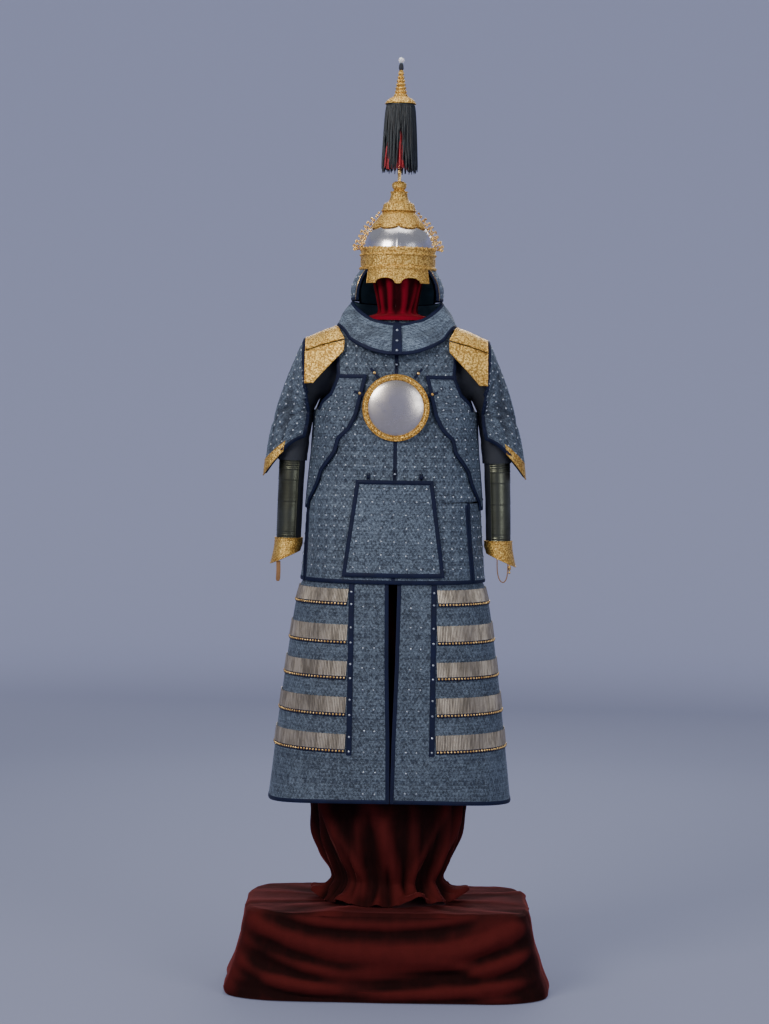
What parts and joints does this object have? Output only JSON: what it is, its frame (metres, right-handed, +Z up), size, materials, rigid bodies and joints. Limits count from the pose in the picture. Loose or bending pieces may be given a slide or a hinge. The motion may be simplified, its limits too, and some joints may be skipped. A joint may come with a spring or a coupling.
{
  "type": "studded cotton armour on a display stand",
  "caption": "Blue studded cotton armour with gilt plumed helmet, collar, chest mirror, shoulder guards, sleeves and banded skirt, worn by a limbless velvet-covered stand.",
  "frame": {"origin": "middle of the plinth's underside, on the floor", "axes": "+Z up, -Y out of the suit's front, +X towards the wearer's left"},
  "size_m": [0.9, 0.52, 2.5889],
  "materials": {
    "cloth": "blue silk brocade with a small interlocking pattern and rows of silver studs",
    "binding": "navy satin",
    "dark_cloth": "plain black cloth",
    "gilt": "gilded and chased",
    "silver": "polished, slightly dulled",
    "steel_strip": "narrow upright strips, silver-grey",
    "green_steel": "dark olive steel plates",
    "velvet": "dark red velvet",
    "plume": "dark blue-green dyed hair",
    "red_plume": "red dyed hair",
    "pearl": "pearl",
    "strap": "brown, worn"
  },
  "bodies": {
    "root": {"stand_plinth": "velvet", "stand_form": "velvet", "helmet_bowl": "silver", "helmet_band": "gilt", "helmet_brow_plate": "gilt", "helmet_crown": "gilt", "helmet_bud": "gilt", "plume_stem": "gilt", "plume_locks": "plume", "plume_core": "red_plume", "plume_cap": "gilt", "plume_finial": "gilt", "finial_pearl": "pearl", "cheek_flap_left": "cloth", "cheek_flap_right": "cloth", "nape_guard": "cloth", "gorget": "cloth", "gorget_placket": "binding", "jacket_front_left": "cloth", "jacket_front_right": "cloth", "jacket_back": "cloth", "armpit_guard_left": "cloth", "armpit_guard_right": "cloth", "front_flap": "cloth", "side_flap": "cloth", "chest_mirror": "silver", "chest_mirror_rim": "gilt", "skirt_waistband": "binding", "cuff_strap_right": "strap", "cuff_loop_left": "strap", "helmet_crest_left": "gilt", "shoulder_plate_top_left": "gilt", "shoulder_plate_front_left": "gilt", "shoulder_plate_back_left": "gilt", "shoulder_wing_left": "cloth", "wing_tip_left": "gilt", "sleeve_left": "dark_cloth", "sleeve_plates_left": "green_steel", "cuff_left": "gilt", "skirt_left": "cloth", "skirt_band_left_1": "steel_strip", "skirt_band_left_2": "steel_strip", "skirt_band_left_3": "steel_strip", "skirt_band_left_4": "steel_strip", "skirt_band_left_5": "steel_strip", "helmet_crest_right": "gilt", "shoulder_plate_top_right": "gilt", "shoulder_plate_front_right": "gilt", "shoulder_plate_back_right": "gilt", "shoulder_wing_right": "cloth", "wing_tip_right": "gilt", "sleeve_right": "dark_cloth", "sleeve_plates_right": "green_steel", "cuff_right": "gilt", "skirt_right": "cloth", "skirt_band_right_1": "steel_strip", "skirt_band_right_2": "steel_strip", "skirt_band_right_3": "steel_strip", "skirt_band_right_4": "steel_strip", "skirt_band_right_5": "steel_strip"}
  },
  "joints": []
}
